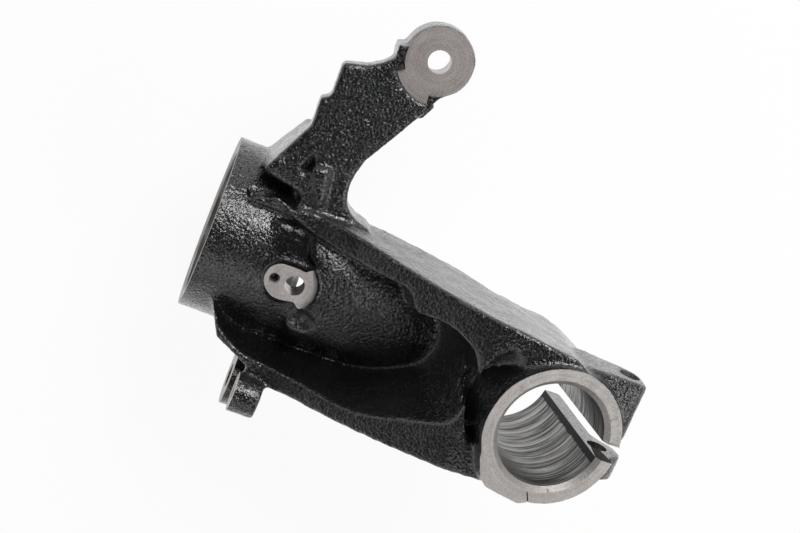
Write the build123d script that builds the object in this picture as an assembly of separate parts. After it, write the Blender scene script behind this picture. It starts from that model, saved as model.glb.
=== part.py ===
"""Front steering knuckle of a strut suspension: one iron casting, machined after casting.

Frame: +Y is the wheel axis and points outboard, +Z is up, +X points to the steering arm.
The origin is on the wheel axis at the middle of the wheel-bearing seat. Lengths are in mm.
A station is a distance inboard from the outboard face of the hub ring, so a point of a plan
outline is (x, station) and a point of a side outline is (station, z).
"""
from build123d import *
import math
import os

# ---- hub ring and wheel-bearing seat
SEAT_BORE = 82.0
SEAT_LENGTH = 42.0
SHOULDER_BORE = 74.0
HUB_WALL = 6.5
HUB_LENGTH = 60.0
HUB_CHAMFER = 1.2
SNAP_RING_DEPTH = 1.6
SNAP_RING_WIDTH = 2.2
SNAP_RING_STATION = 3.5

# ---- strut clamp
STRUT_BORE = 55.0
STRUT_WALL = 8.5
STRUT_LENGTH = 86.0
STRUT_X = -12.0
STRUT_STATION = 189.0
STRUT_TOP = 114.0
STRUT_LEAN = 10.2
STRUT_CHAMFER = 2.5
SLIT_WIDTH = 9.0
SLIT_X = 0.5
LOBE_RADIUS = 10.0
LOBE_REACH = 30.5
LOBE_ANGLE = 143.0
LOBE_LENGTH = 40.0
PINCH_BORE = 11.0
PINCH_OFFSET = 34.5
PINCH_DEPTH = 20.0
EAR_RADIUS = 13.0
EAR_LONG = 37.0
EAR_SHORT = 17.5

# ---- neck: vault over the drive-shaft joint between two flanges
VAULT_WALL = 8.0
VAULT_END = 128.0
SHAFT_CLEARANCE = 26.0
SHAFT_CONE_END = 150.0
GROOVE_WIDTH = 5.0
GROOVE_SHIFT = 5.0
GROOVE_DEPTH = 36.0
LOW_PLANE = 0.0
HIGH_PLANE = 120.0
TROUGH_FLOOR = 12.0
FLANGE_BOTTOM = 26.0

# ---- steering arm and tie-rod ear
ARM_TOP = 45.0
WING_TOP = 42.8
WING_THICKNESS = 13.0
TIE_ROD_X = 128.8
TIE_ROD_STATION = 76.0
TIE_ROD_TOP = 40.0
TIE_ROD_THICKNESS = 20.0
TIE_ROD_BORE = 12.0
TIE_ROD_TAPER = 10.0
TIE_ROD_RADIUS = 18.3
TIE_ROD_EDGE = 2.0
SPOT_FACE = 21.7
POCKET_WALL = 11.0

# ---- wheel-speed sensor pad
SENSOR_X = -3.3
SENSOR_STATION = 50.0
SENSOR_BORE = 10.4
SENSOR_TOP = 52.0
SCREW_BORE = 4.2
SCREW_DEPTH = 8.5
SCREW_SPACING = 10.9
PAD_WIDTH = 18.0
PAD_CUTTER = 14.5

# ---- caliper lugs and hose-bracket boss
CALIPER_FACE = 39.0
CALIPER_THICKNESS = 12.0
CALIPER_BORE = 13.0
CALIPER_RADIUS = 15.5
CALIPER_UPPER = (-71.4, 20.0)
CALIPER_LOWER = (-66.0, -80.0)
BRACKET_THICKNESS = 10.0
HOSE_BOSS = (-68.6, 50.0)
HOSE_RADIUS = 10.5
HOSE_LENGTH = 14.0
HOSE_FACE = 41.4
HOSE_BORE = 6.8
HOSE_DEPTH = 13.0

# ---- lower ball-joint boss
JOINT_X = 3.0
JOINT_STATION = 27.5
JOINT_BORE = 18.0
JOINT_RADIUS = 16.5
JOINT_BOTTOM = -93.0
JOINT_LENGTH = 34.0
JOINT_SLIT = 3.5
JOINT_PINCH_BORE = 10.5
JOINT_PINCH_OFFSET = 13.0
JOINT_EAR = 10.0

HUB_FACE_Y = SEAT_LENGTH / 2
HUB_RADIUS = SEAT_BORE / 2 + HUB_WALL
VAULT_RADIUS = HUB_RADIUS - VAULT_WALL
STRUT_RADIUS = STRUT_BORE / 2 + STRUT_WALL
CAST_BOTTOM = -30.0


def inboard(station):
    """Y of a station inboard of the hub face."""
    return HUB_FACE_Y - station


STRUT = Plane(
    origin=(STRUT_X, inboard(STRUT_STATION), STRUT_TOP),
    x_dir=(1, 0, 0),
    z_dir=(0, -math.sin(math.radians(STRUT_LEAN)), math.cos(math.radians(STRUT_LEAN))),
)


def plan_face(points, z):
    """Face at height z inside straight runs through (x, station) points."""
    return Pos(0, 0, z) * make_face(Polyline([(x, inboard(s)) for x, s in points], close=True))


def plan_curve(points, knots, z):
    """Face at height z inside one smooth curve through (x, station) points at the given knots."""
    through = [Vector(x, inboard(s), z) for x, s in points]
    return make_face(Edge.make_spline(through, periodic=True, parameters=knots))


def plan_prism(points, z_low, z_high):
    """Upright prism of a straight-sided plan outline."""
    return extrude(plan_face(points, z_low), z_high - z_low)


def side_prism(points, x_low, x_high):
    """Prism along X of a closed (station, z) outline."""
    outline = Plane.YZ * make_face(Polyline([(inboard(s), z) for s, z in points], close=True))
    return Pos(x_low, 0, 0) * extrude(outline, x_high - x_low)


def front_prism(outline, station, length):
    """Prism along the wheel axis from a station inboard; the outline lies in (x, z)."""
    return Pos(0, inboard(station), 0) * extrude(Plane.XZ * outline, length)


def turned(points):
    """Solid of revolution about the wheel axis from (radius, station) points."""
    return revolve(make_face(Polyline([(r, inboard(s)) for r, s in points], close=True)), Axis.Y)


def hub_ring():
    """Ring that holds the wheel bearing."""
    edge = HUB_RADIUS - HUB_CHAMFER
    return turned([(0, 0), (edge, 0), (HUB_RADIUS, HUB_CHAMFER), (HUB_RADIUS, HUB_LENGTH), (0, HUB_LENGTH)])


def neck_envelope():
    """Outside of the neck: a ruled body between two plan outlines, under a climbing rim."""
    low = [(27, 12), (33, 16), (37, 26), (36, 38), (38, 60), (36.5, 90), (26, 155), (19, 190), (12, 206),
           (-12, 206), (-47, 182), (-54, 166), (-57, 146), (-60, 123), (-62, 100), (-63, 75),
           (-63, 55), (-54, 35), (-48.5, 23), (-27, 13)]
    high = [(27, 12), (33, 16.5), (35.3, 24), (31, 38), (31, 60), (30, 90), (31.4, 155), (29.5, 184),
            (22, 200), (-12, 206), (-40, 182), (-47, 166), (-49.5, 146), (-52, 123), (-54, 100), (-55, 75),
            (-55, 55), (-45.5, 35), (-40, 23), (-27, 13)]
    body = loft([plan_face(low, LOW_PLANE), plan_face(high, HIGH_PLANE)], ruled=True)
    body += plan_prism(low, CAST_BOTTOM, LOW_PLANE)
    side = [(8, 34), (12, 38.5), (22, 46.5), (50, 49), (71, 59), (88, 70), (104, 80), (117, 88),
            (133, 98), (147, 106), (170, 111), (215, 114), (215, 27), (150, 38), (133, 28),
            (115, 14), (90, 2), (60, -14), (30, -20), (8, -20)]
    body &= side_prism(side, -90, 60)
    return body - Pos(50, inboard(140), 0) * Box(100, 160, 2 * FLANGE_BOTTOM)


def trough():
    """Hollow between the flanges, down to the vault."""
    rim = [(36, 4), (44.5, 17), (37.5, 38.5), (30.5, 71), (28.8, 92), (25.5, 105), (19.5, 109),
           (19.3, 114.5), (20.3, 124.5), (17.5, 136), (12.5, 143.5), (2, 149), (-15, 148.4),
           (-28, 146), (-35.5, 136), (-45.3, 119), (-52.8, 103), (-56.9, 75), (-58.7, 49),
           (-54, 27), (-47.5, 16), (-32, 4)]
    floor = [(22, 18), (30.3, 22), (23.3, 38.5), (16.3, 71), (14.6, 90), (12, 101), (5.5, 106),
             (5.3, 111), (5.5, 116), (3.5, 119.5), (0, 121), (-6, 121.5), (-13, 121.3),
             (-20, 118), (-24.5, 114), (-31.5, 107), (-39, 96), (-42.7, 75), (-44.5, 50),
             (-42, 35), (-36, 26), (-26, 18)]
    runs = [math.dist(a, b) for a, b in zip(rim, rim[1:] + rim[:1])]
    knots = [sum(runs[:i]) / sum(runs) for i in range(len(runs) + 1)]
    return loft([plan_curve(floor, knots, TROUGH_FLOOR), plan_curve(rim, knots, HIGH_PLANE)], ruled=True)


def neck():
    """Flanges and end wall with the bracket beside them, and the vault that runs on from the hub ring."""
    vault = turned([(0, 40), (HUB_RADIUS, 40), (HUB_RADIUS, 150), (0, 150)])
    envelope = neck_envelope()
    return envelope + caliper_bracket() + hose_boss() - trough() + (vault & envelope)


def shaft_cavity():
    """Room for the drive-shaft joint under the vault."""
    return turned([(0, SEAT_LENGTH), (SHOULDER_BORE / 2, SEAT_LENGTH), (SHOULDER_BORE / 2, 54),
                   (VAULT_RADIUS, HUB_LENGTH), (VAULT_RADIUS, VAULT_END),
                   (SHAFT_CLEARANCE, SHAFT_CONE_END), (SHAFT_CLEARANCE, 230), (0, 230)])


def strut_outline():
    """Plan of the clamp tube with the lobe for the locating tab of the strut."""
    angle = math.radians(LOBE_ANGLE)
    lobe = Pos(LOBE_REACH * math.cos(angle), LOBE_REACH * math.sin(angle)) * Circle(LOBE_RADIUS)
    return make_hull(lobe.edges() + Circle(STRUT_BORE / 2).edges())


def ear_profile(circles):
    """Outline across a clamp ear, hull of (offset, depth, radius) circles around the pinch bolt."""
    edges = ShapeList()
    for offset, depth, radius in circles:
        edges += (Pos(-offset, -depth) * Circle(radius)).edges()
    return Plane.YZ * make_hull(edges)


def clamp_ears():
    """The two ears that the pinch bolt pulls together."""
    long_ear = ear_profile([(36.4, 12.4, 5.2), (PINCH_OFFSET - 0.7, PINCH_DEPTH + 1.5, 8.5), (12, 24, 15)])
    short_ear = ear_profile([(PINCH_OFFSET, PINCH_DEPTH + 0.5, EAR_RADIUS), (12, 26, 18)])
    return extrude(long_ear, EAR_LONG) + extrude(short_ear, -EAR_SHORT)


def strut_clamp():
    """Tube, lobe and ears, solid, in the shared frame."""
    tube = extrude(Circle(STRUT_RADIUS), -STRUT_LENGTH)
    lobe = extrude(strut_outline(), -LOBE_LENGTH)
    return STRUT * (tube + lobe + clamp_ears())


def strut_groove():
    """Gap around the outboard half of the clamp tube."""
    outer = Pos(GROOVE_SHIFT, 1) * Circle(STRUT_RADIUS + GROOVE_WIDTH)
    sector = make_face(Polyline([(0, 0), (80, 68), (0, 90), (-80, 80), (-80, 20)], close=True))
    ring = outer - Circle(STRUT_RADIUS) - strut_outline()
    return STRUT * extrude(ring & sector, -GROOVE_DEPTH)


def strut_machining():
    """Bore, chamfer, slit, pinch-bolt hole and the machined top face."""
    radius = STRUT_BORE / 2
    bore = extrude(Circle(radius), -STRUT_LENGTH - 60)
    flare = Pos(0, 0, -STRUT_CHAMFER) * Cone(radius, radius + STRUT_CHAMFER, STRUT_CHAMFER, align=(
        Align.CENTER, Align.CENTER, Align.MIN))
    slit = Pos(SLIT_X, -50, -70) * Box(SLIT_WIDTH, 100, 200)
    bolt = Pos(0, -PINCH_OFFSET, -PINCH_DEPTH) * (Rot(0, 90, 0) * Cylinder(PINCH_BORE / 2, 120))
    above = extrude(Circle(STRUT_RADIUS + 12), 40)
    return STRUT * (bore + flare + slit + bolt + above)


def arm_beam():
    """Beam of the steering arm with the wing along its outboard edge."""
    plan = [(28, 14), (44, 13), (50, 15.6), (75, 28), (90.5, 27.3), (92.5, 32), (110.5, 31),
            (112.3, 36.5), (114, 43), (118.5, 50), (121.8, 53), (126.5, 57.5), (128, 76), (124, 91),
            (120.2, 89.6), (115.1, 85.2), (111, 83.1), (68.5, 60.1), (61, 58.2), (54.1, 57.6),
            (47.8, 58.6), (43.5, 60.5), (40.5, 63.5), (38, 68), (36.5, 75), (28, 77)]
    elevation = [(28, ARM_TOP), (121, ARM_TOP), (121, 40), (150, 40), (150, 20), (100, 20), (75, 12),
                 (45, -5), (28, -12)]
    front = front_prism(make_face(Polyline(elevation, close=True)), 0, 120)
    beam = plan_prism(plan, CAST_BOTTOM, 60) & front
    under_wing = [(73, 0), (73, 33), (108.6, 62), (124, 66), (140, 66), (140, 0)]
    above_wing = [(54, 21), (72.3, 36.1), (108.6, 65.2), (118, 66), (140, 66), (140, 0), (54, 0)]
    under_fillet = [(20, 61.5), (45, 61.5), (45, 90), (20, 90)]
    beam -= plan_prism(under_wing, CAST_BOTTOM, WING_TOP - WING_THICKNESS)
    beam -= plan_prism(under_fillet, CAST_BOTTOM, FLANGE_BOTTOM - 4)
    return beam - plan_prism(above_wing, WING_TOP, 60)


def arm_details():
    """Raised bar on the arm root and the steering stop on the inboard side."""
    bar = [(56.4, 35.9), (58.8, 45.3), (42, 48.2), (35.9, 46.8)]
    stop = [(95, 70), (106, 70), (106, 84.5), (97, 80)]
    return plan_prism(bar, ARM_TOP - 5, ARM_TOP + 2) + plan_prism(stop, 20, 31)


def arm_pocket():
    """Three-sided pocket between the hub ring, the flange and the arm root, with the slot beside it."""
    mouth = [(29, POCKET_WALL), (46.5, POCKET_WALL), (41.5, 35), (39, 37.5), (31, 37.5), (33.5, 32),
             (35.5, 25), (34.5, 19)]
    bottom = [(32, POCKET_WALL + 2), (43, POCKET_WALL + 2), (40, 32), (38, 35), (35, 35), (36, 31),
              (37, 25), (36, 20)]
    pocket = loft([plan_face(bottom, 22), plan_face(mouth, ARM_TOP + 5)], ruled=True)
    slot = [(51.2, 31), (60.6, 34), (61.4, 37.5), (52, 35)]
    return pocket + plan_prism(slot, ARM_TOP - 6, ARM_TOP + 4)


def tie_rod_ear():
    """Ear at the end of the steering arm."""
    ear = Pos(TIE_ROD_X, inboard(TIE_ROD_STATION), TIE_ROD_TOP - TIE_ROD_THICKNESS) * extrude(
        Circle(TIE_ROD_RADIUS), TIE_ROD_THICKNESS)
    return fillet(ear.edges().group_by(Axis.Z)[-1] + ear.edges().group_by(Axis.Z)[0], TIE_ROD_EDGE)


def tie_rod_machining():
    """Spot face and the tapered hole, wide end down."""
    radius = TIE_ROD_BORE / 2
    wide = radius + TIE_ROD_THICKNESS / TIE_ROD_TAPER / 2
    hole = Pos(0, 0, -TIE_ROD_THICKNESS) * Cone(wide, radius, TIE_ROD_THICKNESS, align=(
        Align.CENTER, Align.CENTER, Align.MIN))
    face = extrude(Circle(SPOT_FACE), 30)
    return Pos(TIE_ROD_X, inboard(TIE_ROD_STATION), TIE_ROD_TOP) * (hole + face)


def sensor_pad():
    """Raised pad for the wheel-speed sensor: a slot outline with a spot-face lens at one end."""
    stadium = make_hull((Pos(0, 1) * Circle(PAD_WIDTH / 2)).edges()
                        + (Pos(0, SCREW_SPACING - 3.5) * Circle(PAD_WIDTH / 2)).edges())
    lens = Pos(0, 3.1) * Circle(PAD_CUTTER) & Pos(0, -15.1) * Circle(PAD_CUTTER)
    outline = stadium + lens
    return Pos(SENSOR_X, inboard(SENSOR_STATION), HUB_RADIUS - 12) * extrude(
        outline, SENSOR_TOP - HUB_RADIUS + 12)


def sensor_machining():
    """Sensor hole into the hub bore and the blind screw hole with its countersink."""
    place = Pos(SENSOR_X, inboard(SENSOR_STATION), SENSOR_TOP)
    hole = extrude(Circle(SENSOR_BORE / 2), -30)
    screw = Pos(0, SCREW_SPACING) * extrude(Circle(SCREW_BORE / 2), -SCREW_DEPTH)
    sink = Pos(0, SCREW_SPACING, -0.8) * Cone(SCREW_BORE / 2, SCREW_BORE / 2 + 0.8, 0.8, align=(
        Align.CENTER, Align.CENTER, Align.MIN))
    return place * (hole + screw + sink)


def spot(point, radius):
    """Disc outline about an (x, z) point."""
    return Pos(*point) * Circle(radius)


def caliper_bracket():
    """Two caliper lugs on arms from the hub ring, joined by a scalloped web."""
    lugs = Part()
    for point in (CALIPER_UPPER, CALIPER_LOWER):
        reach = math.hypot(*point)
        root = (point[0] / reach * (HUB_RADIUS - 8), point[1] / reach * (HUB_RADIUS - 8))
        arm = make_hull(spot(point, CALIPER_RADIUS - 1.5).edges() + spot(root, CALIPER_RADIUS).edges())
        lugs += front_prism(arm, CALIPER_FACE, BRACKET_THICKNESS)
        lugs += front_prism(spot(point, CALIPER_RADIUS), CALIPER_FACE, CALIPER_THICKNESS)
    web = make_face(Polyline([(-30, 20), (-62, 16), (-58, -74), (-28, -40)], close=True))
    web -= spot((-86, -30), 34)
    return lugs + front_prism(web, CALIPER_FACE + 1.5, BRACKET_THICKNESS - 3)


def hose_boss():
    """Boss for the brake-hose bracket beside the outer flange."""
    boss = front_prism(spot(HOSE_BOSS, HOSE_RADIUS), HOSE_FACE, HOSE_LENGTH)
    x, z = HOSE_BOSS
    foot = make_face(Polyline([(x, z - HOSE_RADIUS), (x + 16, z - HOSE_RADIUS - 4), (x + 16, z - 4),
                               (x, z + 4)], close=True))
    return boss + front_prism(foot, HOSE_FACE + 2, HOSE_LENGTH - 2)


def ball_joint_boss():
    """Clamp for the pin of the lower ball joint, below the hub ring."""
    boss = extrude(Circle(JOINT_RADIUS), JOINT_LENGTH)
    width = JOINT_RADIUS * 2 - 2
    lug = Pos(0, -JOINT_PINCH_OFFSET, JOINT_EAR + 2) * (Rot(0, 90, 0) * Cylinder(JOINT_EAR, width))
    lug += Pos(0, -JOINT_PINCH_OFFSET / 2, JOINT_EAR + 2) * Box(width, JOINT_PINCH_OFFSET, JOINT_EAR * 2)
    boss = Pos(JOINT_X, inboard(JOINT_STATION), JOINT_BOTTOM) * (boss + lug)
    neck_low = plan_face([(-13, 12), (19, 12), (19, 44), (-13, 44)], JOINT_BOTTOM + JOINT_LENGTH - 8)
    neck_high = plan_face([(-26, 8), (32, 8), (32, 54), (-26, 54)], CAST_BOTTOM)
    return boss + loft([neck_low, neck_high], ruled=True)


def ball_joint_machining():
    """Pin bore, slit and pinch-bolt hole."""
    bore = extrude(Circle(JOINT_BORE / 2), 30)
    slit = Pos(0, -20, 0) * extrude(Rectangle(JOINT_SLIT, 40), 28)
    bolt = Pos(0, -JOINT_PINCH_OFFSET, JOINT_EAR + 2) * (Rot(0, 90, 0) * Cylinder(JOINT_PINCH_BORE / 2, 60))
    return Pos(JOINT_X, inboard(JOINT_STATION), JOINT_BOTTOM) * (bore + slit + bolt)


def bearing_seat():
    """Bearing bore from the outboard face, with lead-in and snap-ring groove."""
    radius = SEAT_BORE / 2
    groove = radius + SNAP_RING_DEPTH
    return turned([(0, 0), (radius + HUB_CHAMFER, 0), (radius, HUB_CHAMFER), (radius, SNAP_RING_STATION),
                   (groove, SNAP_RING_STATION), (groove, SNAP_RING_STATION + SNAP_RING_WIDTH),
                   (radius, SNAP_RING_STATION + SNAP_RING_WIDTH), (radius, SEAT_LENGTH), (0, SEAT_LENGTH)])


def bracket_machining():
    """Caliper bolt holes and the tapped hole for the hose bracket."""
    cuts = front_prism(spot(CALIPER_UPPER, CALIPER_BORE / 2), 30, 40)
    cuts += front_prism(spot(CALIPER_LOWER, CALIPER_BORE / 2), 30, 40)
    return cuts + front_prism(spot(HOSE_BOSS, HOSE_BORE / 2), HOSE_FACE, HOSE_DEPTH)


casting = hub_ring() + neck() + arm_beam() + arm_details() - arm_pocket()
casting += tie_rod_ear()
casting += sensor_pad()
casting += ball_joint_boss()
casting = casting - strut_groove() + strut_clamp()
casting -= strut_machining()
casting -= tie_rod_machining()
casting -= shaft_cavity()
casting -= bearing_seat()
casting -= sensor_machining()
casting -= bracket_machining()
casting -= ball_joint_machining()
os.makedirs("parts", exist_ok=True)
export_step(casting, "parts/knuckle_casting.step")
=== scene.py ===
"""Looks of the steering knuckle: a black-coated sand casting with bare machined faces.

The casting is made the way the real one is: the CAD solid gets machining stock at each machined
place, the whole is remeshed and softened like a sand casting, and then the cutters of the CAD
mounts take the stock off again, which leaves crisp machined faces in rough skin.
Lengths of the casting are in mm and become metres where meshes are made; lamps are in metres.
A station is the distance inboard from the hub face.
"""

import math

import bmesh
import bpy
import numpy as np
from mathutils import Matrix, Vector, geometry, noise


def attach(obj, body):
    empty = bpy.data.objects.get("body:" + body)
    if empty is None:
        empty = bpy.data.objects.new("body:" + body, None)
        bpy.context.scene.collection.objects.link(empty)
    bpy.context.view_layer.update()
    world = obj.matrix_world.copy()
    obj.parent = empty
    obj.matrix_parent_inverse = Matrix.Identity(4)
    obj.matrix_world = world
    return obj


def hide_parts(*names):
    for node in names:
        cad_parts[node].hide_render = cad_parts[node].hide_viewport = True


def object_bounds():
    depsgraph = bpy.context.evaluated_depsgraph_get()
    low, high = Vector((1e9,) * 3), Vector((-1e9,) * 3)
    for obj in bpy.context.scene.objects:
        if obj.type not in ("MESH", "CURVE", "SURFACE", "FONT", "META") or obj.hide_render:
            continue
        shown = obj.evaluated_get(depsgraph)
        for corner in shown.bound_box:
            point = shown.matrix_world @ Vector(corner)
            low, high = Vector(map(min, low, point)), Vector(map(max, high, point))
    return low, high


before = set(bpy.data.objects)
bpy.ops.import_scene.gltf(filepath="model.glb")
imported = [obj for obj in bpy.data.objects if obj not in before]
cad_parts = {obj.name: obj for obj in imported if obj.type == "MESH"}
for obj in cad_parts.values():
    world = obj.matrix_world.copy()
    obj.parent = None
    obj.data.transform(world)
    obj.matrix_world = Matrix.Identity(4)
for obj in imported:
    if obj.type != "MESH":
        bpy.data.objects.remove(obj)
CAD_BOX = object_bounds()

MM = 0.001
VOXEL = 1.1
KEEP_FACES = 185000
STOCK = 5
SOFTENING = 8
SOFTENING_AT_STOCK = 0.25

# ---- hub
HUB_FACE_Y = 21.0
HUB_RADIUS = 47.5
HUB_LENGTH = 59
HUB_CUTTER = 60
SEAT_RADIUS = 41.0
SEAT_LENGTH = 42
SEAT_CHAMFER = 1.2
RING_START, RING_END, RING_DEPTH = 3.5, 5.7, 1.6
SHOULDER_RADIUS = 37.0
SHOULDER_END = 61
WHEEL_FRAME = Matrix.Translation((0, HUB_FACE_Y, 0)) @ Matrix.Rotation(-math.pi / 2, 4, "X")

# ---- strut clamp, in a frame that leans with the strut
CLAMP_FRAME = (Matrix.Translation((-12.0, -168.0, 114.0))
               @ Matrix.Rotation(math.radians(10.2), 4, "X"))
TUBE_RADIUS = 36.0
TUBE_LENGTH = 87
CLAMP_RADIUS = 27.5
CLAMP_LENGTH = 100
CLAMP_CHAMFER = 2.5
CLAMP_CUTTER = 58
LOBE = Vector((-24.36, 18.35))
LOBE_RADIUS = 10
LOBE_LENGTH = 39
RAMP_STEPS = 11
RAMP_TURN, RAMP_TURN_STEP = 40, 2.6
RAMP_TOP, RAMP_DROP, RAMP_END = -10, 2.4, -37
SLIT_LEFT, SLIT_RIGHT = -4, 5
SAWN_DEPTH = 28
PINCH = Vector((0, -34.5, -20))
PINCH_RADIUS = 5.5

# ---- tie-rod ear
EAR = Vector((128.8, -55.0, 40.0))
EAR_RADIUS, EAR_DEPTH = 17.2, 20.5
EAR_BLOCK, EAR_BLOCK_DEPTH, EAR_BLOCK_TOP = 22.5, 19, 3
EAR_DISC = 17.6
EAR_LENS = 21.7
EAR_HOLE, EAR_TAPER, EAR_TAPER_END = 6, 7.3, 26

# ---- sensor pad
PAD = Vector((-3.3, -29.0, 52.0))
PAD_DISC, PAD_DISC_Y = 14.5, 3.1
PAD_END_DISC, PAD_END_DISC_Y = 12.0, 9.0
PEDESTAL_SPREAD = 1.4
SENSOR_RADIUS = 5.2
SCREW = PAD + Vector((0, 10.9, 0))
SCREW_RADIUS, SCREW_DEPTH, SCREW_SINK = 2.1, 8.5, 0.8

# ---- caliper lugs, hose boss and ball joint
LUGS = (Vector((-71.4, -18.0, 20.0)), Vector((-66.0, -18.0, -80.0)))
LUG_RADIUS, LUG_BORE, LUG_DISC = 15.5, 6.5, 19
HOSE = Vector((-68.6, -20.4, 50.0))
HOSE_RADIUS, HOSE_BORE, HOSE_DISC = 10.5, 3.4, 13.5
HOSE_DEPTH, HOSE_SINK = 13, 0.9
JOINT = Vector((3.0, -6.5, -93.0))
JOINT_RADIUS, JOINT_BORE, JOINT_TOP = 14, 9, 30
JOINT_PINCH = JOINT + Vector((0, -13, 12))
JOINT_PINCH_RADIUS = 5.25
JOINT_SLIT = 3.5


def at(point):
    """Upright frame at a point."""
    return Matrix.Translation(point)


def facing_out(point):
    """Frame at a point with its Z axis along +Y."""
    return Matrix.Translation(point) @ Matrix.Rotation(-math.pi / 2, 4, "X")


def facing_x(point):
    """Frame at a point with its Z axis along +X."""
    return Matrix.Translation(point) @ Matrix.Rotation(math.pi / 2, 4, "Y")


PINCH_FRAME = CLAMP_FRAME @ facing_x(PINCH)


# ---- bodies
def new_object(name, mesh):
    obj = bpy.data.objects.new(name, mesh)
    bpy.context.scene.collection.objects.link(obj)
    return obj


def mesh_from(name, build):
    """Object whose mesh is filled by build(bm), given in mm."""
    bm = bmesh.new()
    build(bm)
    bmesh.ops.recalc_face_normals(bm, faces=bm.faces)
    mesh = bpy.data.meshes.new(name)
    bm.to_mesh(mesh)
    bm.free()
    mesh.transform(Matrix.Scale(MM, 4))
    return new_object(name, mesh)


def shape(build, *settings):
    """Body to be made later, as a function of the bmesh that it goes into."""
    return lambda bm: build(bm, *settings)


def lathe(bm, profile, place, segments=96):
    """Closed body of revolution about Z; profile is (radius, height) from axis to axis."""
    rings = []
    for radius, height in profile:
        if radius == 0:
            rings.append([bm.verts.new(place @ Vector((0, 0, height)))])
            continue
        ring = []
        for i in range(segments):
            a = 2 * math.pi * i / segments
            point = Vector((radius * math.cos(a), radius * math.sin(a), height))
            ring.append(bm.verts.new(place @ point))
        rings.append(ring)
    for low, high in zip(rings, rings[1:]):
        for i in range(segments):
            j = (i + 1) % segments
            a, b = low[i % len(low)], low[j % len(low)]
            c, d = high[j % len(high)], high[i % len(high)]
            corners = [v for k, v in enumerate((a, b, c, d)) if v not in (a, b, c, d)[:k]]
            if len(corners) > 2:
                bm.faces.new(corners)


def cylinder(bm, place, radius, low, high, segments=96):
    lathe(bm, [(0, low), (radius, low), (radius, high), (0, high)], place, segments)


def prism(bm, outline, place, low, high, spread=1.0):
    """Prism of (x, y) points along Z, which widens downwards by the spread factor."""
    bottom = [bm.verts.new(place @ Vector((x * spread, y * spread, low))) for x, y in outline]
    top = [bm.verts.new(place @ Vector((x, y, high))) for x, y in outline]
    bm.faces.new(bottom[::-1])
    bm.faces.new(top)
    for i in range(len(outline)):
        j = (i + 1) % len(outline)
        bm.faces.new((bottom[i], bottom[j], top[j], top[i]))


def plan_prism(bm, outline, low, high):
    """Upright prism of (x, station) points."""
    prism(bm, [(x, HUB_FACE_Y - station) for x, station in outline], Matrix(), low, high)


def arc(centre_y, radius, start, end, count=9):
    """Points of an arc about (0, centre_y) between two angles in degrees."""
    turns = [math.radians(start + (end - start) * i / (count - 1)) for i in range(count)]
    return [(radius * math.cos(a), centre_y + radius * math.sin(a)) for a in turns]


def sector(inner, outer, start, end):
    """Outline of a ring sector between two angles in degrees."""
    turns = [math.radians(start + (end - start) * i / 12) for i in range(13)]
    points = [(outer * math.cos(a), outer * math.sin(a)) for a in turns]
    return points + [(inner * math.cos(a), inner * math.sin(a)) for a in reversed(turns)]


def pad_outline():
    """Sensor pad seen from above: a slot with the lens of the spot-facing cutter inboard."""
    return (arc(7.4, 9.0, 0, 180, 17) + arc(1.0, 9.0, 180, 206, 4) + arc(-15.1, 14.5, 125, 141, 4)
            + arc(3.1, 14.5, 219, 321, 21) + arc(-15.1, 14.5, 39, 55, 4) + arc(1.0, 9.0, -26, 0, 4))


def lobe_outline():
    """Hull of the lobe for the strut's locating tab, its straight flank and the clamp bore."""
    flank = ((-20, 31.4), (-26.2, 28.2), (-34.4, 22.1), (-36.8, 9.0), (-38.1, 2.6), (-35.9, -2.2))
    points = [Vector(p) for p in flank]
    for i in range(64):
        a = 2 * math.pi * i / 64
        for centre, radius in ((LOBE, LOBE_RADIUS), (Vector((0, 0)), CLAMP_RADIUS)):
            x, y = centre.x + radius * math.cos(a), centre.y + radius * math.sin(a)
            points.append(Vector((x, y)))
    return [tuple(points[i]) for i in geometry.convex_hull_2d(points)]


# ---- stock: what is added to the CAD solid before it is roughened
def clamp_stock():
    """Tube, lobe and the ramp at the end of the groove round the tube."""
    bodies = [shape(cylinder, CLAMP_FRAME, TUBE_RADIUS, -TUBE_LENGTH, STOCK),
              shape(prism, lobe_outline(), CLAMP_FRAME, -LOBE_LENGTH, STOCK)]
    for step in range(RAMP_STEPS):
        turn, top = RAMP_TURN + RAMP_TURN_STEP * step, RAMP_TOP - RAMP_DROP * step
        wedge = sector(34, 44, turn - 2, turn + 2)
        bodies.append(shape(prism, wedge, CLAMP_FRAME, RAMP_END, top))
    return bodies


def ear_stock():
    """Boss of the tie-rod ear and the block that the spot face leaves standing beside it."""
    block = sector(12, EAR_BLOCK, 86, 122)
    return [shape(cylinder, at(EAR), EAR_RADIUS, -EAR_DEPTH, STOCK),
            shape(prism, block, at(EAR), -EAR_BLOCK_DEPTH, EAR_BLOCK_TOP)]


def pad_stock():
    """Sensor pad on a pedestal that widens downwards."""
    pedestal = at(PAD + Vector((-2.5, 1.5, 0)))
    return [shape(prism, pad_outline(), at(PAD), -12, STOCK),
            shape(prism, arc(4.0, 8.0, 0, 360, 33)[:-1], pedestal, -10.5, -0.7, PEDESTAL_SPREAD)]


def bracket_stock():
    """Caliper lugs and hose boss."""
    bodies = [shape(cylinder, facing_out(lug), LUG_RADIUS, -12, STOCK) for lug in LUGS]
    return bodies + [shape(cylinder, facing_out(HOSE), HOSE_RADIUS, -14, STOCK)]


def stock_bodies():
    bar = [(56.4, 35.9), (58.8, 45.3), (42, 48.2), (35.9, 46.8)]
    return ([shape(cylinder, WHEEL_FRAME, HUB_RADIUS, -HUB_LENGTH, STOCK)]
            + clamp_stock() + ear_stock() + pad_stock() + bracket_stock()
            + [shape(cylinder, at(JOINT), JOINT_RADIUS, -2, 31),
               shape(cylinder, facing_x(JOINT_PINCH), 7.5, -15, 15),
               shape(cylinder, PINCH_FRAME, 7.0, -17, 36.4),
               shape(plan_prism, bar, 38, 48.2)])


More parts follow.
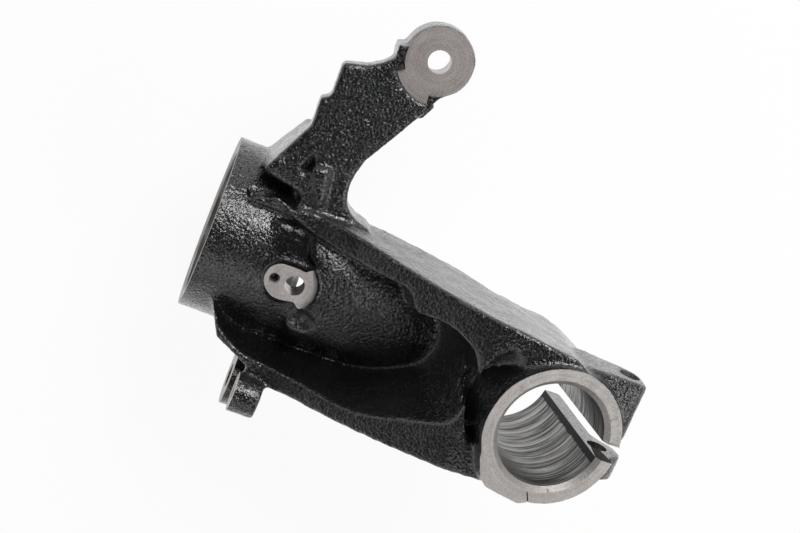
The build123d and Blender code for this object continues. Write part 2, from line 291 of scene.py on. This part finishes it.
# ---- cutters: the machining of the CAD source
def hub_cutters():
    """Bearing seat with chamfer, snap-ring groove and shoulder, and the hub face."""
    groove = SEAT_RADIUS + RING_DEPTH
    seat = [(0, 4), (SEAT_RADIUS + SEAT_CHAMFER + 4, 4), (SEAT_RADIUS + SEAT_CHAMFER, 0),
            (SEAT_RADIUS, -SEAT_CHAMFER), (SEAT_RADIUS, -RING_START), (groove, -RING_START),
            (groove, -RING_END), (SEAT_RADIUS, -RING_END), (SEAT_RADIUS, -SEAT_LENGTH),
            (SHOULDER_RADIUS, -SEAT_LENGTH), (SHOULDER_RADIUS, -SHOULDER_END), (0, -SHOULDER_END)]
    return [shape(lathe, seat, WHEEL_FRAME, 160),
            shape(cylinder, WHEEL_FRAME, HUB_CUTTER, 0, 8)]


def clamp_cutters():
    """Bore with chamfer, top face, slit and pinch-bolt hole."""
    bore = [(0, -CLAMP_LENGTH), (CLAMP_RADIUS, -CLAMP_LENGTH), (CLAMP_RADIUS, -CLAMP_CHAMFER),
            (CLAMP_RADIUS + CLAMP_CHAMFER, 0), (CLAMP_RADIUS + 8, 8 - CLAMP_CHAMFER),
            (0, 8 - CLAMP_CHAMFER)]
    slit = [(SLIT_LEFT, -60), (SLIT_RIGHT, -60), (SLIT_RIGHT, -5), (SLIT_LEFT, -5)]
    return [shape(lathe, bore, CLAMP_FRAME, 160),
            shape(cylinder, CLAMP_FRAME, CLAMP_CUTTER, 0, 12),
            shape(prism, slit, CLAMP_FRAME, -130, 40),
            shape(cylinder, PINCH_FRAME, PINCH_RADIUS, -40, 60, 48)]


def ear_cutters():
    """Tapered hole and the spot face, whose cutter ran into the arm on one side."""
    hole = [(0, -EAR_TAPER_END), (EAR_TAPER, -EAR_TAPER_END), (EAR_HOLE, 0), (EAR_HOLE, 8), (0, 8)]
    return [shape(lathe, hole, at(EAR), 72),
            shape(cylinder, at(EAR), EAR_DISC, 0, 12),
            shape(prism, sector(10, EAR_LENS, 122, 185), at(EAR), 0, 12),
            shape(prism, sector(EAR_DISC, 34, 185, 214), at(EAR), -0.6, 12)]


def pad_face_cutters():
    """Two overlapping discs."""
    return [shape(cylinder, at(PAD + Vector((0, PAD_DISC_Y, 0))), PAD_DISC, 0, 8),
            shape(cylinder, at(PAD + Vector((0, PAD_END_DISC_Y, 0))), PAD_END_DISC, 0, 8)]


def mark_cutters():
    """Crack mark on the clamp face and slot in the root of the arm."""
    crack = [(-31.0, 0.4), (-36.2, -2.2), (-36.0, -2.9), (-30.8, -0.2)]
    slot = [(51.2, 31), (60.6, 34), (61.4, 36.5), (52, 34)]
    return [shape(prism, crack, CLAMP_FRAME, -1.2, 2), shape(plan_prism, slot, 38, 60)]


def pad_hole_cutters():
    """Sensor hole and countersunk screw hole."""
    screw = [(0, -SCREW_DEPTH), (SCREW_RADIUS, -SCREW_DEPTH), (SCREW_RADIUS, -SCREW_SINK),
             (SCREW_RADIUS + SCREW_SINK, 0), (9, 6.1), (0, 6.1)]
    return [shape(cylinder, at(PAD), SENSOR_RADIUS, -30, 10, 64),
            shape(lathe, screw, at(SCREW), 40)]


def bracket_cutters():
    """Caliper lugs with hole and spot face, hose boss with spot face and countersunk hole."""
    bodies = []
    for lug in LUGS:
        bodies += [shape(cylinder, facing_out(lug), LUG_BORE, -20, 20, 64),
                   shape(cylinder, facing_out(lug), LUG_DISC, 0, 12, 64)]
    hole = [(0, -HOSE_DEPTH), (HOSE_BORE, -HOSE_DEPTH), (HOSE_BORE, -HOSE_SINK),
            (HOSE_BORE + HOSE_SINK, 0), (10, 5.7), (0, 5.7)]
    return bodies + [shape(cylinder, facing_out(HOSE), HOSE_DISC, 0, 10, 64),
                     shape(lathe, hole, facing_out(HOSE), 48)]


def joint_cutters():
    """Ball-joint bore with its bottom face, slit and pinch-bolt hole."""
    bore = [(0, -6), (10, -6), (10, 0), (JOINT_BORE, 1), (JOINT_BORE, JOINT_TOP), (0, JOINT_TOP)]
    half = JOINT_SLIT / 2
    slit = [(-half, -45), (half, -45), (half, 0), (-half, 0)]
    return [shape(lathe, bore, at(JOINT), 72),
            shape(prism, slit, at(JOINT), -10, 28),
            shape(cylinder, facing_x(JOINT_PINCH), JOINT_PINCH_RADIUS, -30, 30, 48)]


def cutter_bodies():
    return (hub_cutters() + clamp_cutters() + ear_cutters() + pad_face_cutters() + mark_cutters()
            + pad_hole_cutters() + bracket_cutters() + joint_cutters())


# ---- mesh work
def read_points(mesh):
    co = np.empty(len(mesh.vertices) * 3, dtype=np.float64)
    mesh.vertices.foreach_get("co", co)
    return co.reshape(-1, 3)


def write_points(mesh, co):
    mesh.vertices.foreach_set("co", co.ravel())
    mesh.update()


def local(points, place):
    """Points in the coordinates of a frame."""
    inverse = np.array(place.inverted())
    return points @ inverse[:3, :3].T + inverse[:3, 3]


def smooth_step(x):
    x = np.clip(x, 0.0, 1.0)
    return x * x * (3 - 2 * x)


def only(obj):
    """Selects one object and makes it active."""
    bpy.ops.object.select_all(action="DESELECT")
    obj.select_set(True)
    bpy.context.view_layer.objects.active = obj


def apply_modifier(obj, kind, **settings):
    mod = obj.modifiers.new(kind.lower(), kind)
    for key, value in settings.items():
        setattr(mod, key, value)
    only(obj)
    bpy.ops.object.modifier_apply(modifier=mod.name)


def remesh(body):
    apply_modifier(body, "REMESH", mode="VOXEL", voxel_size=VOXEL * MM, adaptivity=0.0)


def cut(body, build):
    """Takes away what build(bm) makes."""
    cutter = mesh_from("cutter", build)
    apply_modifier(body, "BOOLEAN", operation="DIFFERENCE", object=cutter, solver="MANIFOLD")
    bpy.data.objects.remove(cutter)


# ---- the rough casting
def cad_with_stock():
    """Copy of the CAD solid, joined with its stock."""
    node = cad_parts["knuckle_casting"]
    body = new_object("knuckle_skin", node.data.copy())
    body.matrix_world = node.matrix_world
    body.data.materials.clear()
    stock = [mesh_from("stock", build) for build in stock_bodies()]
    only(body)
    for part in stock:
        part.select_set(True)
    bpy.ops.object.join()
    return body


def lift_shoulder(co, skin, start):
    """Raises the vault inboard of the start line to a shoulder above the hub ring."""
    x, y, z = co.T
    station = HUB_FACE_Y - y
    angle = np.degrees(np.arctan2(x, z))
    height = np.interp(station, [50, 62, 80, 100, 122], [4.6, 5.9, 4.4, 2.0, 0.0])
    fade = smooth_step((angle + 58) / 30) * smooth_step((44 - angle) / 16)
    lift = height * fade * smooth_step((station - start) / 1.5) * skin
    scale = 1 + lift / np.maximum(np.hypot(x, z), 1)
    co[:, 0] *= scale
    co[:, 2] *= scale


def flatten_beside_pad(co, points, skin, start):
    """Flat on the hub ring between the sensor pad and the neck; points are the unmoved ones."""
    x, y, z = points.T
    station = HUB_FACE_Y - y
    flat = 45.9 - (x - 12) * 0.14 - z
    blend = smooth_step((x - 6) / 4) * smooth_step((26 - x) / 4) * smooth_step((station - 27) / 6)
    co[:, 2] += np.where((station < start) & skin, flat * blend, 0.0)


def press_dimple(co, inboard):
    """Round dimple in the shoulder."""
    centre = np.array([-22.5, HUB_FACE_Y - 60.0, 53.0])
    radius = 8.5
    away = co - centre
    distance = np.linalg.norm(away, axis=1)
    dent = (distance < radius) & inboard
    co[dent] = centre + away[dent] * (radius / distance[dent])[:, None]


def shape_vault(body):
    """Shoulder, flat and dimple where the vault runs on from the hub ring."""
    co = read_points(body.data) / MM
    points = co.copy()
    x, y, z = points.T
    skin = (abs(np.hypot(x, z) - HUB_RADIUS) < 0.9) & (z > 15)
    start = np.interp(x, [-31, -23, -15, -3, 9, 12, 21, 30], [55, 52, 56, 58, 56, 51, 48, 47])
    lift_shoulder(co, skin, start)
    flatten_beside_pad(co, points, skin, start)
    press_dimple(co, HUB_FACE_Y - y > start + 1)
    write_points(body.data, co * MM)


def near_machining(co):
    """Points close under a machined face, whose edges stay crisp."""
    near = (np.hypot(*(co - PAD).T[:2]) < 19) & (co[:, 2] > 46.5)
    near |= (np.hypot(*(co - EAR).T[:2]) < 24) & (abs(co[:, 2] - EAR.z) < 6)
    near |= (np.hypot(co[:, 0], co[:, 2]) < 55) & (co[:, 1] > HUB_FACE_Y - 4)
    q = local(co, CLAMP_FRAME)
    near |= (np.hypot(q[:, 0], q[:, 1]) < 47) & (q[:, 2] > -5)
    for face in (*LUGS, HOSE):
        away = co - face
        near |= (np.hypot(away[:, 0], away[:, 2]) < 18) & (abs(away[:, 1]) < 6)
    return near


def soften(body):
    """Rounds all edges, and those at machined places only a little."""
    soft = body.vertex_groups.new(name="soft")
    near = np.flatnonzero(near_machining(read_points(body.data) / MM))
    soft.add(range(len(body.data.vertices)), 1.0, "REPLACE")
    soft.add(near.tolist(), SOFTENING_AT_STOCK, "REPLACE")
    apply_modifier(body, "SMOOTH", factor=0.5, iterations=SOFTENING, vertex_group="soft")


def grain(body):
    """Uneven skin of a sand casting: slow waves and fine lumps, pushed along the normals."""
    mesh = body.data
    co = read_points(mesh)
    normals = np.array([v.normal[:] for v in mesh.vertices])
    places = [Vector(p) for p in co / MM]
    lift = np.array([0.25 * noise.noise(p * 0.09) + 0.14 * noise.noise(p * 0.4) for p in places])
    write_points(mesh, co + normals * (lift[:, None] * MM))


def thin_out(body):
    """Triangles, no more than the wanted count."""
    apply_modifier(body, "TRIANGULATE")
    ratio = KEEP_FACES / len(body.data.polygons)
    if ratio < 1:
        apply_modifier(body, "DECIMATE", ratio=ratio)


def keep_in_box(body):
    """No vertex passes the bounding box of the CAD part."""
    low, high = (np.array(corner) for corner in CAD_BOX)
    write_points(body.data, np.clip(read_points(body.data), low, high))


def make_casting():
    """Rough casting with its pocket at the root of the arm, machined at the CAD mounts."""
    body = cad_with_stock()
    remesh(body)
    shape_vault(body)
    pocket = [(26.5, 12), (46, 12), (45, 17), (37, 27), (34.3, 24.6), (31.2, 16.5)]
    cut(body, shape(plan_prism, pocket, 34, 70))
    remesh(body)
    soften(body)
    grain(body)
    thin_out(body)
    for build in cutter_bodies():
        cut(body, build)
    keep_in_box(body)
    return body


# ---- which face is which: cast skin, turned or drilled wall, milled face
CAST, BORE, FACE, SPOT, EAR_SPOT, DRILLED, HUB_BORE, HUB_FACE, SAWN, RAW = range(10)


def sort_faces(mesh):
    """Gives each face its material from where the cutters left it."""
    count = len(mesh.polygons)
    centre = np.empty(count * 3)
    normal = np.empty(count * 3)
    mesh.polygons.foreach_get("center", centre)
    mesh.polygons.foreach_get("normal", normal)
    centre = centre.reshape(-1, 3) / MM
    normal = normal.reshape(-1, 3)
    kind = np.full(count, CAST, dtype=np.int32)

    def seen_from(place):
        q = local(centre, place)
        n = normal @ np.array(place)[:3, :3]
        return q, n, np.hypot(q[:, 0], q[:, 1])

    def wall(place, radius, low, high, slot, tolerance=0.12):
        q, n, r = seen_from(place)
        between = (q[:, 2] > low) & (q[:, 2] < high)
        kind[(abs(r - radius) < tolerance) & between & (abs(n[:, 2]) < 0.75)] = slot

    def flat(place, radius, slot, height=0.0):
        q, n, r = seen_from(place)
        kind[(abs(q[:, 2] - height) < 0.04) & (n[:, 2] > 0.98) & (r < radius)] = slot

    q, n, _ = seen_from(CLAMP_FRAME)
    middle, half = (SLIT_LEFT + SLIT_RIGHT) / 2, (SLIT_RIGHT - SLIT_LEFT) / 2
    across = (abs(n[:, 0]) > 0.99) & (q[:, 1] < -10)
    slit = (abs(abs(q[:, 0] - middle) - half) < 0.03) & across
    kind[slit] = np.where(q[slit, 2] < -SAWN_DEPTH, SAWN, RAW)
    wall(CLAMP_FRAME, CLAMP_RADIUS, -95, 0, BORE)
    wall(CLAMP_FRAME, CLAMP_RADIUS + CLAMP_CHAMFER / 2, -2.6, 0.05, FACE, 1.4)
    flat(CLAMP_FRAME, CLAMP_CUTTER, FACE)
    wall(WHEEL_FRAME, SEAT_RADIUS, -42.1, -1.1, HUB_BORE)
    wall(WHEEL_FRAME, SEAT_RADIUS + RING_DEPTH / 2, -5.8, 0.1, HUB_BORE, 0.9)
    wall(WHEEL_FRAME, SHOULDER_RADIUS, -SHOULDER_END, -SEAT_LENGTH, HUB_BORE)
    flat(WHEEL_FRAME, HUB_CUTTER, HUB_FACE)
    flat(WHEEL_FRAME, 42.7, HUB_FACE, -SEAT_LENGTH)
    flat(at(EAR), 21.9, EAR_SPOT)
    wall(at(EAR), 6.6, -22, 0.1, DRILLED, 0.9)
    flat(at(PAD), 17, SPOT)
    wall(at(PAD), SENSOR_RADIUS, -30, 0.1, DRILLED)
    wall(at(SCREW), 2.5, -9, 0.1, DRILLED, 0.5)
    for lug in LUGS:
        flat(facing_out(lug), LUG_DISC, SPOT)
        wall(facing_out(lug), LUG_BORE, -20, 0.1, DRILLED)
    flat(facing_out(HOSE), 13, SPOT)
    wall(facing_out(HOSE), 3.9, -14, 0.1, DRILLED, 0.6)
    wall(at(JOINT), JOINT_BORE, -1, 30.1, DRILLED)
    wall(facing_x(JOINT_PINCH), JOINT_PINCH_RADIUS, -30, 30, DRILLED)
    wall(PINCH_FRAME, PINCH_RADIUS, -30, 50, DRILLED)
    flat(at(JOINT) @ Matrix.Rotation(math.pi, 4, "X"), 20, SPOT)
    return kind


# ---- materials
class Nodes:
    """Short way to write a node tree."""

    def __init__(self, name):
        self.material = bpy.data.materials.new(name)
        self.material.use_nodes = True
        self.tree = self.material.node_tree
        self.shader = self.tree.nodes["Principled BSDF"]

    def link(self, value, socket):
        if isinstance(value, bpy.types.NodeSocket):
            self.tree.links.new(value, socket)
        else:
            socket.default_value = value

    def set(self, name, value):
        """Gives an input of the shader a value or a link."""
        self.link(value, self.shader.inputs[name])

    def math(self, operation, a, b=0.0, clamp=False):
        node = self.tree.nodes.new("ShaderNodeMath")
        node.operation = operation
        node.use_clamp = clamp
        self.link(a, node.inputs[0])
        self.link(b, node.inputs[1])
        return node.outputs[0]

    def times(self, a, b):
        return self.math("MULTIPLY", a, b)

    def vector(self, operation, a, b=(0, 0, 0)):
        node = self.tree.nodes.new("ShaderNodeVectorMath")
        node.operation = operation
        self.link(a, node.inputs[0])
        if operation == "SCALE":
            node.inputs["Scale"].default_value = b
        elif operation != "LENGTH":
            self.link(b, node.inputs[1])
        return node.outputs["Value" if operation in ("DOT_PRODUCT", "LENGTH") else "Vector"]

    def join(self, *parts):
        node = self.tree.nodes.new("ShaderNodeCombineXYZ")
        for value, socket in zip(parts, node.inputs):
            self.link(value, socket)
        return node.outputs[0]

    def place(self):
        """Place on the object in mm."""
        node = self.tree.nodes.new("ShaderNodeTexCoord")
        return self.vector("SCALE", node.outputs["Object"], 1 / MM)

    def noise(self, where, scale, detail=2.0, roughness=0.5):
        node = self.tree.nodes.new("ShaderNodeTexNoise")
        self.link(where, node.inputs["Vector"])
        node.inputs["Scale"].default_value = scale
        node.inputs["Detail"].default_value = detail
        node.inputs["Roughness"].default_value = roughness
        return node.outputs["Fac"]

    def cells(self, where, scale):
        node = self.tree.nodes.new("ShaderNodeTexVoronoi")
        node.feature = "SMOOTH_F1"
        self.link(where, node.inputs["Vector"])
        node.inputs["Scale"].default_value = scale
        return node.outputs["Distance"]

    def range(self, value, low, high, to_low=0.0, to_high=1.0):
        node = self.tree.nodes.new("ShaderNodeMapRange")
        self.link(value, node.inputs["Value"])
        numbers = {"From Min": low, "From Max": high, "To Min": to_low, "To Max": to_high}
        for key, number in numbers.items():
            node.inputs[key].default_value = number
        return node.outputs["Result"]

    def blend(self, amount, a, b):
        node = self.tree.nodes.new("ShaderNodeMix")
        node.data_type = "RGBA"
        self.link(amount, node.inputs["Factor"])
        self.link(a, node.inputs["A"])
        self.link(b, node.inputs["B"])
        return node.outputs["Result"]

    def bump(self, height, distance, strength=1.0, normal=None):
        """Relief; distance in mm."""
        node = self.tree.nodes.new("ShaderNodeBump")
        self.link(strength, node.inputs["Strength"])
        node.inputs["Distance"].default_value = distance * MM
        self.link(height, node.inputs["Height"])
        if normal is not None:
            self.link(normal, node.inputs["Normal"])
        return node.outputs["Normal"]

    def frame_of(self, place):
        """Local (x, y, z) in mm and radius from the Z axis, for a frame given in mm."""
        where = self.vector("SUBTRACT", self.place(), tuple(place.translation))
        axes = [tuple(place.col[i][:3]) for i in range(3)]
        x, y, z = (self.vector("DOT_PRODUCT", where, axis) for axis in axes)
        return x, y, z, self.vector("LENGTH", self.join(x, y))


def cast_skin(name, relief):
    """Black coating over cast iron, half glossy; relief scales the pebbles of the sand mould."""
    # painted glints: the second colour is a light grey that random specks mix into the black,
    # standing in for glints of light on the pebbles
    black, painted_glint_grey = (0.006, 0.006, 0.0065, 1), (0.10, 0.098, 0.095, 1)
    calm_place = (13.0, -25.0, 45.0)
    n = Nodes(name)
    p = n.place()
    patch = n.noise(p, 0.045)
    lumps = n.bump(n.noise(p, 0.7, 1.5, 0.6), 0.4 * relief)
    calm = n.vector("LENGTH", n.vector("SUBTRACT", p, calm_place))
    rough = n.range(calm, 12.0, 20.0, 0.1, 1.0)
    pebbles = n.bump(n.cells(p, 0.75), 0.6 * relief, rough, lumps)
    grit = n.bump(n.noise(p, 1.7, 2.0, 0.6), 0.1 * relief, 1.0, pebbles)
    # mask of the painted glints: specks where light grey is painted into the coating as highlights
    painted_glint_specks = n.range(n.noise(p, 0.95, 2.0, 0.6), 0.60, 0.72)
    pits = n.range(n.noise(p, 0.9, 2.0, 0.6), 0.58, 0.66, 1.0, 0.1)
    shine = n.times(pits, n.range(calm, 10.0, 18.0, 0.3, 1.0))
    # base colour: black with the painted glint specks mixed in, at most 30 %
    n.set("Base Color", n.blend(n.times(painted_glint_specks, 0.3), black, painted_glint_grey))
    n.set("Roughness", n.range(patch, 0.35, 0.65, 0.10, 0.20))
    n.set("Normal", grit)
    n.set("Coat Normal", lumps)
    n.set("Coat Weight", n.times(shine, 0.85))
    n.set("Coat Roughness", 0.14)
    n.set("Specular IOR Level", n.times(shine, 0.5))
    return n.material


def raw_skin(name):
    """Dull black where the sand burnt into the casting."""
    n = Nodes(name)
    n.set("Base Color", (0.009, 0.009, 0.0095, 1))
    n.set("Roughness", 0.6)
    n.set("Specular IOR Level", 0.2)
    n.set("Normal", n.bump(n.noise(n.place(), 0.8, 3.0, 0.6), 1.2))
    return n.material


# light and dark of the tool marks
IRON = {
    "turned_bore": ((0.36, 0.352, 0.345, 1), (0.02, 0.02, 0.02, 1)),
    "milled_face": ((0.47, 0.447, 0.43, 1), (0.32, 0.30, 0.285, 1)),
    "pad_face": ((0.60, 0.56, 0.54, 1), (0.40, 0.37, 0.355, 1)),
    "ear_face": ((0.43, 0.39, 0.375, 1), (0.28, 0.25, 0.24, 1)),
    "drilled_wall": ((0.5, 0.48, 0.46, 1), (0.25, 0.24, 0.23, 1)),
    "bearing_seat": ((0.46, 0.44, 0.43, 1), (0.22, 0.21, 0.20, 1)),
    "hub_face": ((0.50, 0.475, 0.455, 1), (0.34, 0.32, 0.30, 1)),
}


def tool_marks(n, p, frame_parts, lines):
    """Tone of the machining: lines round the axis, with specks on a face."""
    x, y, z, radius = frame_parts
    along = radius if lines == "rings" else z
    stretched = n.join(along, n.times(x, 0.03), n.times(y, 0.03))
    fine = n.noise(stretched, 1.7, 2.0, 0.6)
    broad = n.noise(stretched, 0.6, 3.0, 0.6)
    tone = n.math("ADD", n.times(fine, 0.5), n.times(broad, 0.5))
    if lines == "rings":
        speck = n.noise(p, 1.3, 2.0, 0.7)
        tone = n.math("ADD", n.times(tone, 0.4), n.times(speck, 0.6))
    return tone


def burr_strip(n, p, x, y):
    """Amount of the ragged black strip on the bore wall along the slit."""
    ragged = n.math("ADD", x, n.range(n.noise(p, 0.5), 0.0, 1.0, -1.2, 1.2))
    strip = n.times(n.range(ragged, -7.9, -7.5), n.range(x, -3.0, -3.4))
    return n.times(strip, n.range(y, -10.0, -12.0))


def bare_iron(name, place, lines, roughness, metallic=0.8, burr=False):
    """Machined iron; lines is "rings" on a face or "turns" on a wall."""
    colour, dark = IRON[name]
    n = Nodes(name)
    p = n.place()
    frame_parts = n.frame_of(place)
    tone = tool_marks(n, p, frame_parts, lines)
    spread = 0.06 if lines == "turns" else 0.10
    base = n.blend(n.range(tone, 0.5 - spread, 0.5 + spread), dark, colour)
    if burr:
        strip = burr_strip(n, p, *frame_parts[:2])
        base = n.blend(strip, base, (0.012, 0.012, 0.013, 1))
        n.set("Specular IOR Level", n.range(strip, 0.0, 1.0, 0.5, 0.1))
        metallic = n.range(strip, 0.0, 1.0, metallic, 0.0)
    n.set("Base Color", base)
    n.set("Metallic", metallic)
    cloudy = n.noise(p, 0.12)
    n.set("Roughness", n.range(cloudy, 0.3, 0.7, roughness - 0.05, roughness + 0.06))
    n.set("Normal", n.bump(tone, 0.12))
    return n.material


def dress(body):
    """One material for each kind of face, in the order of the slots."""
    looks = (
        cast_skin("black_casting", 1.0),
        bare_iron("turned_bore", CLAMP_FRAME, "turns", 0.3, metallic=0.95, burr=True),
        bare_iron("milled_face", CLAMP_FRAME, "rings", 0.5),
        bare_iron("pad_face", at(PAD), "rings", 0.5),
        bare_iron("ear_face", at(EAR), "rings", 0.5),
        bare_iron("drilled_wall", at(PAD), "turns", 0.25),
        bare_iron("bearing_seat", WHEEL_FRAME, "turns", 0.3),
        bare_iron("hub_face", WHEEL_FRAME, "rings", 0.5),
        cast_skin("sawn_slit", 0.15),
        raw_skin("raw_slit"),
    )
    mesh = body.data
    mesh.materials.clear()
    for material in looks:
        mesh.materials.append(material)
    mesh.polygons.foreach_set("material_index", sort_faces(mesh))
    mesh.shade_smooth()
    mesh.set_sharp_from_angle(angle=math.radians(38))


# ---- studio
FLOOR_Z = -97.5
FLOOR_SIZE = 4000
LAMP_DISTANCE = 1.6
LAMP_AIM = Vector((0, -0.08, 0))


def studio():
    """World of a white sweep: bright at the horizon, dark overhead where the camera hangs."""
    world = bpy.data.worlds.new("studio")
    bpy.context.scene.world = world
    world.use_nodes = True
    tree = world.node_tree
    coord = tree.nodes.new("ShaderNodeTexCoord")
    split = tree.nodes.new("ShaderNodeSeparateXYZ")
    tree.links.new(coord.outputs["Generated"], split.inputs[0])
    sky = tree.nodes.new("ShaderNodeMapRange")
    sky.interpolation_type = "SMOOTHSTEP"
    numbers = {"From Min": 0.05, "From Max": 0.7, "To Min": 0.9, "To Max": 0.06}
    for key, number in numbers.items():
        sky.inputs[key].default_value = number
    tree.links.new(split.outputs["Z"], sky.inputs["Value"])
    lamp = tree.nodes["Background"]
    lamp.inputs["Color"].default_value = (1, 1, 1, 1)
    tree.links.new(sky.outputs["Result"], lamp.inputs["Strength"])


def softbox(name, azimuth, elevation, size, watts):
    """Square lamp at an azimuth from +X in degrees, aimed at the casting; size in metres."""
    light = bpy.data.lights.new(name, "AREA")
    light.shape = "SQUARE"
    light.size = size
    light.energy = watts
    obj = bpy.data.objects.new(name, light)
    bpy.context.scene.collection.objects.link(obj)
    a, e = math.radians(azimuth), math.radians(elevation)
    way = Vector((math.cos(a) * math.cos(e), math.sin(a) * math.cos(e), math.sin(e)))
    obj.location = LAMP_AIM + way * LAMP_DISTANCE
    obj.rotation_euler = (-way).to_track_quat("-Z", "Y").to_euler()


def floor():
    """White floor: plain to the eye and to reflections, with the object's soft shadow kept."""
    def grid(bm):
        bmesh.ops.create_grid(bm, x_segments=1, y_segments=1, size=FLOOR_SIZE)

    plane = mesh_from("studio_floor", grid)
    plane.location.z = FLOOR_Z * MM
    n = Nodes("white_floor")
    n.set("Base Color", (0.97, 0.97, 0.97, 1))
    n.set("Roughness", 0.9)
    n.set("Specular IOR Level", 0.1)
    path = n.tree.nodes.new("ShaderNodeLightPath")
    seen = n.math("ADD", path.outputs["Is Camera Ray"], path.outputs["Is Glossy Ray"])
    seen = n.math("ADD", seen, path.outputs["Is Transmission Ray"], clamp=True)
    plain = n.tree.nodes.new("ShaderNodeEmission")
    plain.inputs["Strength"].default_value = 1.0
    mix = n.tree.nodes.new("ShaderNodeMixShader")
    n.link(n.times(seen, 0.92), mix.inputs["Fac"])
    n.link(n.shader.outputs[0], mix.inputs[1])
    n.link(plain.outputs[0], mix.inputs[2])
    n.link(mix.outputs[0], n.tree.nodes["Material Output"].inputs["Surface"])
    plane.data.materials.append(n.material)


def camera():
    """Camera that looks down on the casting from the steering-arm side."""
    back = Vector((0.231, 0.154, 0.963)).normalized()
    right = Vector((0.382, -0.923, 0.057))
    right = (right - back * right.dot(back)).normalized()
    up = back.cross(right)
    turn = Matrix((right, up, back)).transposed().to_4x4()
    data = bpy.data.cameras.new("camera")
    data.sensor_width = 36.0
    data.lens = 76.5
    data.clip_end = 20.0
    obj = bpy.data.objects.new("camera", data)
    bpy.context.scene.collection.objects.link(obj)
    hub_centre = Vector((-101.6, 24.9, -909.0))  # seen from the camera: right, up, back
    away = right * hub_centre.x + up * hub_centre.y + back * hub_centre.z
    eye = -away + Vector((0, HUB_FACE_Y, 0))
    obj.matrix_world = Matrix.Translation(eye * MM) @ turn
    bpy.context.scene.camera = obj


skin = make_casting()
dress(skin)

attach(skin, "root")
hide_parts("knuckle_casting")

studio()
floor()
camera()
softbox("key", -10, 50, 0.7, 18)
softbox("fill", 170, 50, 0.7, 3)
softbox("side", -100, 50, 0.6, 5)
bpy.context.scene.view_settings.view_transform = "Standard"
